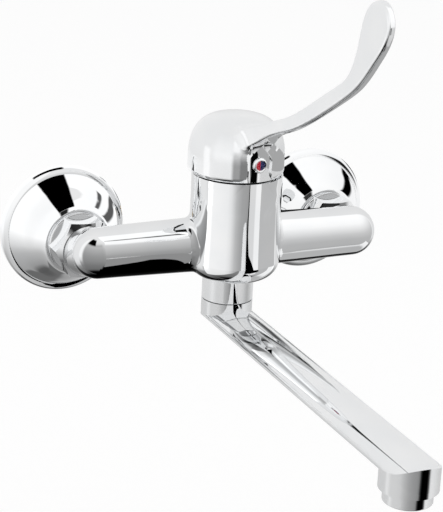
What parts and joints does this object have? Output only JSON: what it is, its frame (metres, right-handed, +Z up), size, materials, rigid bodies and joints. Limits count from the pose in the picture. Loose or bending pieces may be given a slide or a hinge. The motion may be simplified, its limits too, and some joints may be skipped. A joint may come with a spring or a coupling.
{
  "type": "mixer tap",
  "caption": "Wall mixer tap in polished chrome: upright body, two arms with nuts and bell rosettes, swivelling flat oval spout below and a dome cap with a long S-shaped elbow lever.",
  "frame": {"origin": "on the wall's face, midway between the two pipe threads of the eccentric unions, at their height", "axes": "X along the wall to the right as seen from the room, Y into the wall, Z up; the spout and the lever point to -Y"},
  "size_m": [0.2212, 0.3017, 0.2129],
  "materials": {
    "chrome": "polished chrome plating on brass",
    "brass": "bare turned brass",
    "steel": "plain stainless steel",
    "rubber": "black sealing rubber",
    "white_plastic": "moulded white plastic",
    "ceramic": "lapped ceramic",
    "red": "glossy red",
    "blue": "glossy blue"
  },
  "bodies": {
    "body": {"body_casting": "chrome", "left_union": "brass", "right_union": "brass", "left_rosette": "chrome", "right_rosette": "chrome", "left_union_nut": "chrome", "right_union_nut": "chrome", "left_inlet_insert": "brass", "right_inlet_insert": "brass", "left_filter_washer": "rubber", "right_filter_washer": "rubber", "spout_collar": "chrome", "cartridge_housing": "white_plastic", "cartridge_base": "white_plastic", "cartridge_seals": "rubber", "fixed_disc": "ceramic", "cartridge_nut": "brass", "cover_ring": "chrome"},
    "spout": {"spout": "chrome", "spout_o_rings": "rubber", "spout_slip_ring": "white_plastic", "aerator_housing": "chrome", "aerator_insert": "white_plastic", "aerator_seal": "rubber"},
    "rotor": {"rotor": "white_plastic", "pivot_pin": "steel"},
    "disc_carrier": {"disc_carrier": "white_plastic", "moving_disc": "ceramic"},
    "lever": {"lever": "chrome", "stem": "brass", "lever_screw": "steel", "index_plug": "chrome", "index_red": "red", "index_blue": "blue"}
  },
  "joints": [
    {"name": "spout_swivel", "type": "hinge", "parent": "body", "child": "spout", "pos_m": [0, -0.0617, -0.02], "axis": [0, 0, 1], "range_deg": [-100, 100]},
    {"name": "lever_turn", "type": "hinge", "parent": "body", "child": "rotor", "pos_m": [0, -0.0668, 0.044], "axis": [0, 0, 1], "range_deg": [-51, 39]},
    {"name": "lever_lift", "type": "hinge", "parent": "rotor", "child": "lever", "pos_m": [0, -0.0668, 0.044], "axis": [-0.9945, -0.1045, 0], "range_deg": [0, 22]},
    {"name": "disc_slide", "type": "slide", "parent": "rotor", "child": "disc_carrier", "axis": [0.1045, -0.9945, 0], "range_m": [0, 0.0042]}
  ],
  "couplings": [
    {"joint": "disc_slide", "follows": "lever_lift", "m_per_rad": 0.0106}
  ]
}
